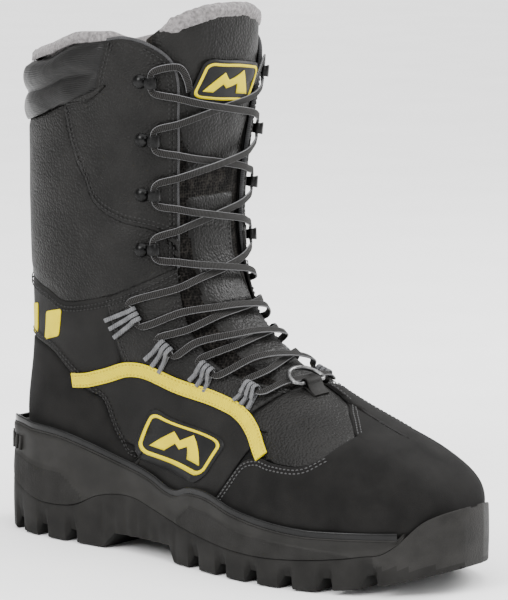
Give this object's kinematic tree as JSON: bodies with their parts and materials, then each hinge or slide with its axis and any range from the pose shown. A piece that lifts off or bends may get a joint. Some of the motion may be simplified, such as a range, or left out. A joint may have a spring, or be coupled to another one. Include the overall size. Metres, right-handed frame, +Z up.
{
  "type": "insulated winter hiking boot",
  "caption": "High insulated lace-up winter boot for the right foot: leather and mesh upper, speed hooks and webbing loops, padded tongue and collar, foam midsole and lugged rubber outsole.",
  "frame": {"origin": "on the flat ground face of the forefoot tread, on the centre line half way along the sole", "axes": "-Y to the toe, +Y to the heel, -X to the outer (lateral) side, +X to the inner (medial) side, +Z up"},
  "size_m": [0.1189, 0.318, 0.305],
  "materials": {
    "outsole_rubber": "matte moulded rubber",
    "midsole_foam": "matte moulded foam with textured insets",
    "welt_gloss": "glossy",
    "nubuck_leather": "brushed nubuck",
    "grained_leather": "grained, semi-matte",
    "smooth_leather": "smooth, matte",
    "collar_stretch_fabric": "ribbed, slight sheen",
    "tongue_mesh_fabric": "open mesh",
    "fleece_lining": "brushed fleece",
    "yellow_webbing": "woven, with stitching",
    "yellow_printed_rubber": "matte print",
    "grey_webbing": "woven",
    "black_hook_metal": "gloss black",
    "gunmetal_wire": "dark plated",
    "lace_braid": "flat braid with light edges",
    "lasting_board": "pressed fibre",
    "stiffener_plastic": "matte",
    "shank_steel": "brushed",
    "footbed_foam": "matte foam"
  },
  "bodies": {
    "boot": {"ankle_panel": "smooth_leather", "collar_pad": "collar_stretch_fabric", "d_ring_tab": "smooth_leather", "heel_accent": "yellow_printed_rubber", "heel_counter": "nubuck_leather", "heel_stiffener": "stiffener_plastic", "insole_board": "lasting_board", "lace": "lace_braid", "lace_hook_lateral_1": "black_hook_metal", "lace_hook_lateral_2": "black_hook_metal", "lace_hook_lateral_3": "black_hook_metal", "lace_hook_lateral_4": "black_hook_metal", "lace_hook_medial_1": "black_hook_metal", "lace_hook_medial_2": "black_hook_metal", "lace_hook_medial_3": "black_hook_metal", "lace_hook_medial_4": "black_hook_metal", "lace_loop_lateral_1": "grey_webbing", "lace_loop_lateral_2": "grey_webbing", "lace_loop_lateral_3": "grey_webbing", "lace_loop_lateral_4": "grey_webbing", "lace_loop_medial_1": "grey_webbing", "lace_loop_medial_2": "grey_webbing", "lace_loop_medial_3": "grey_webbing", "lace_loop_medial_4": "grey_webbing", "lining_bootie": "fleece_lining", "midsole": "midsole_foam", "outsole": "outsole_rubber", "pull_strap": "grey_webbing", "quarter_lateral": "smooth_leather", "quarter_medial": "smooth_leather", "rear_shaft_panel": "grained_leather", "rivet_lateral_1": "black_hook_metal", "rivet_lateral_2": "black_hook_metal", "rivet_lateral_3": "black_hook_metal", "rivet_lateral_4": "black_hook_metal", "rivet_medial_1": "black_hook_metal", "rivet_medial_2": "black_hook_metal", "rivet_medial_3": "black_hook_metal", "rivet_medial_4": "black_hook_metal", "shaft_panel_lateral": "grained_leather", "shaft_panel_medial": "grained_leather", "shank_plate": "shank_steel", "side_badge_lateral": "yellow_printed_rubber", "side_badge_medial": "yellow_printed_rubber", "side_panel_lateral": "nubuck_leather", "side_panel_medial": "nubuck_leather", "stripe_lateral": "yellow_webbing", "stripe_medial": "yellow_webbing", "toe_cap": "nubuck_leather", "toe_stiffener": "stiffener_plastic", "vamp_lateral": "grained_leather", "vamp_medial": "grained_leather", "welt_strip": "welt_gloss"},
    "tongue_pad": {"tongue": "smooth_leather", "tongue_badge": "yellow_printed_rubber", "tongue_fleece": "fleece_lining", "tongue_mesh_lateral": "tongue_mesh_fabric", "tongue_mesh_medial": "tongue_mesh_fabric"},
    "d_ring_wire": {"d_ring": "gunmetal_wire"},
    "footbed_insert": {"footbed": "footbed_foam"}
  },
  "joints": [
    {"name": "d_ring_swing", "type": "hinge", "parent": "boot", "child": "d_ring_wire", "pos_m": [-0.00599, -0.05362, 0.10368], "axis": [0.9988, -0.035, 0.0346], "range_deg": [0, 140]},
    {"name": "tongue_lean", "type": "hinge", "parent": "boot", "child": "tongue_pad", "pos_m": [0, -0.044, 0.092], "axis": [-1, 0, 0], "range_deg": [0, 4]},
    {"name": "footbed_lift", "type": "hinge", "parent": "boot", "child": "footbed_insert", "pos_m": [0, -0.124, 0.034], "axis": [1, 0, 0], "range_deg": [0, 10]}
  ]
}
